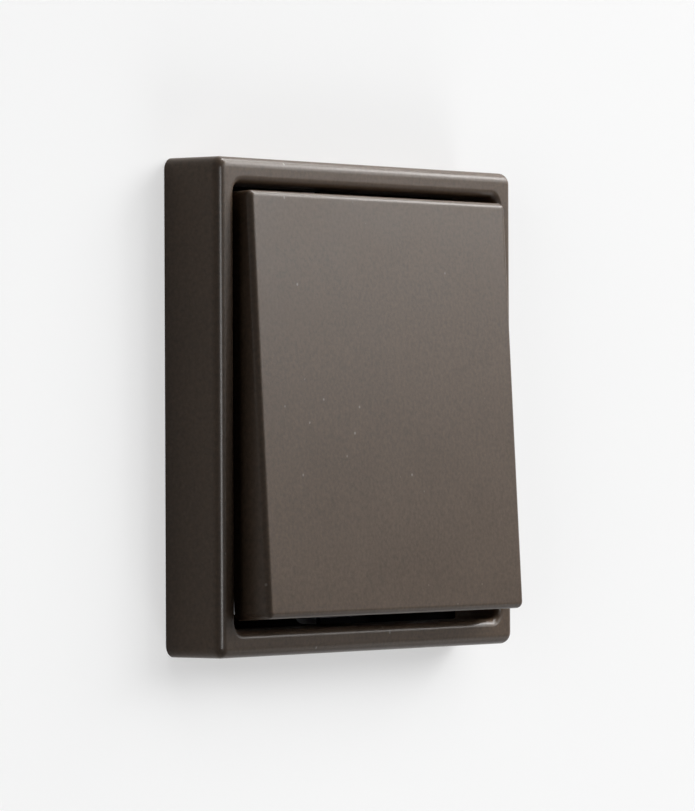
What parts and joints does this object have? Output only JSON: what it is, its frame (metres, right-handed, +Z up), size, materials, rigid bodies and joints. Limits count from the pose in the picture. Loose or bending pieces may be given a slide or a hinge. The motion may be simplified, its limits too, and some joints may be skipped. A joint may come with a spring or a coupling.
{
  "type": "rocker wall switch",
  "caption": "Square flush-mounted rocker wall switch in matt dark brown: cover frame and tilting rocker on a support ring, with a contact insert, push-in terminals and spreading claws.",
  "frame": {"origin": "centre of the cover frame on the wall's surface", "axes": "+X to the right seen from the room, +Y into the wall, +Z up"},
  "size_m": [0.081, 0.049, 0.081],
  "materials": {
    "brown_lacquer": "satin dark brown lacquer with a fine grain, on moulded plastic",
    "zinc_plated_steel": "zinc-plated sheet steel and turned steel",
    "grey_thermoset": "matt grey moulded thermoset",
    "white_nylon": "natural white nylon, slightly glossy",
    "orange_polyamide": "orange moulded polyamide",
    "spring_steel": "bright spring steel",
    "brass": "stamped brass sheet",
    "contact_silver": "silver contact rivets"
  },
  "bodies": {
    "insert": {"cover_frame": "brown_lacquer", "support_ring": "zinc_plated_steel", "ring_rivet_1": "zinc_plated_steel", "ring_rivet_2": "zinc_plated_steel", "ring_rivet_3": "zinc_plated_steel", "ring_rivet_4": "zinc_plated_steel", "bearing_cover": "grey_thermoset", "insert_base": "grey_thermoset", "rear_cover": "grey_thermoset", "common_contact": "brass", "throw_contact_lower": "brass", "throw_contact_upper": "brass", "fixed_tip_lower": "contact_silver", "fixed_tip_upper": "contact_silver", "clamp_spring_lower_left": "spring_steel", "clamp_spring_lower_right": "spring_steel", "clamp_spring_upper_left": "spring_steel", "clamp_spring_upper_right": "spring_steel"},
    "rocker": {"rocker": "brown_lacquer", "toggle": "white_nylon", "plunger_spring": "spring_steel"},
    "plunger": {"plunger": "white_nylon"},
    "bridge": {"contact_bridge": "brass", "bridge_tip_lower": "contact_silver", "bridge_tip_upper": "contact_silver"},
    "lever_lower_left": {"release_lever_lower_left": "orange_polyamide"},
    "lever_lower_right": {"release_lever_lower_right": "orange_polyamide"},
    "lever_upper_left": {"release_lever_upper_left": "orange_polyamide"},
    "lever_upper_right": {"release_lever_upper_right": "orange_polyamide"},
    "claw_screw_left": {"claw_screw_left": "zinc_plated_steel"},
    "claw_nut_left": {"claw_nut_left": "zinc_plated_steel"},
    "claw_left": {"claw_left": "zinc_plated_steel"},
    "claw_screw_right": {"claw_screw_right": "zinc_plated_steel"},
    "claw_nut_right": {"claw_nut_right": "zinc_plated_steel"},
    "claw_right": {"claw_right": "zinc_plated_steel"}
  },
  "joints": [
    {"name": "rocker_tilt", "type": "hinge", "parent": "insert", "child": "rocker", "pos_m": [0, -0.006, 0], "axis": [1, 0, 0], "range_deg": [0, 6.2]},
    {"name": "plunger_slide", "type": "slide", "parent": "rocker", "child": "plunger", "axis": [0, -0.9985, 0.0541], "range_m": [0, 0.0008], "stiffness_N_per_m": 450, "springref_m": -0.001, "deforming": ["plunger_spring"]},
    {"name": "bridge_tilt", "type": "hinge", "parent": "insert", "child": "bridge", "pos_m": [0, 0.0088, 0], "axis": [1, 0, 0], "range_deg": [-12.4, 0]},
    {"name": "lever_press_lower_left", "type": "slide", "parent": "insert", "child": "lever_lower_left", "axis": [0, -1, 0], "range_m": [0, 0.0015], "stiffness_N_per_m": 500, "springref_m": -0.0004, "deforming": ["clamp_spring_lower_left"]},
    {"name": "lever_press_lower_right", "type": "slide", "parent": "insert", "child": "lever_lower_right", "axis": [0, -1, 0], "range_m": [0, 0.0015], "stiffness_N_per_m": 500, "springref_m": -0.0004, "deforming": ["clamp_spring_lower_right"]},
    {"name": "lever_press_upper_left", "type": "slide", "parent": "insert", "child": "lever_upper_left", "axis": [0, -1, 0], "range_m": [0, 0.0015], "stiffness_N_per_m": 500, "springref_m": -0.0004, "deforming": ["clamp_spring_upper_left"]},
    {"name": "lever_press_upper_right", "type": "slide", "parent": "insert", "child": "lever_upper_right", "axis": [0, -1, 0], "range_m": [0, 0.0015], "stiffness_N_per_m": 500, "springref_m": -0.0004, "deforming": ["clamp_spring_upper_right"]},
    {"name": "claw_screw_turn_left", "type": "hinge", "parent": "insert", "child": "claw_screw_left", "pos_m": [-0.0232, 0, 0], "axis": [0, 1, 0], "range_deg": [0, 2160]},
    {"name": "claw_nut_slide_left", "type": "slide", "parent": "insert", "child": "claw_nut_left", "axis": [0, -1, 0], "range_m": [0, 0.003]},
    {"name": "claw_swing_left", "type": "hinge", "parent": "claw_nut_left", "child": "claw_left", "pos_m": [-0.0232, 0.0188, 0], "axis": [0, 0, -1], "range_deg": [0, 15]},
    {"name": "claw_screw_turn_right", "type": "hinge", "parent": "insert", "child": "claw_screw_right", "pos_m": [0.0232, 0, 0], "axis": [0, 1, 0], "range_deg": [0, 2160]},
    {"name": "claw_nut_slide_right", "type": "slide", "parent": "insert", "child": "claw_nut_right", "axis": [0, -1, 0], "range_m": [0, 0.003]},
    {"name": "claw_swing_right", "type": "hinge", "parent": "claw_nut_right", "child": "claw_right", "pos_m": [0.0232, 0.0188, 0], "axis": [0, 0, 1], "range_deg": [0, 15]}
  ],
  "couplings": [
    {"joint": "bridge_tilt", "follows": "rocker_tilt", "ratio": -2},
    {"joint": "claw_screw_turn_left", "follows": "claw_nut_slide_left", "rad_per_m": 12566},
    {"joint": "claw_swing_left", "follows": "claw_nut_slide_left", "rad_per_m": 87.2},
    {"joint": "claw_screw_turn_right", "follows": "claw_nut_slide_right", "rad_per_m": 12566},
    {"joint": "claw_swing_right", "follows": "claw_nut_slide_right", "rad_per_m": 87.2}
  ]
}
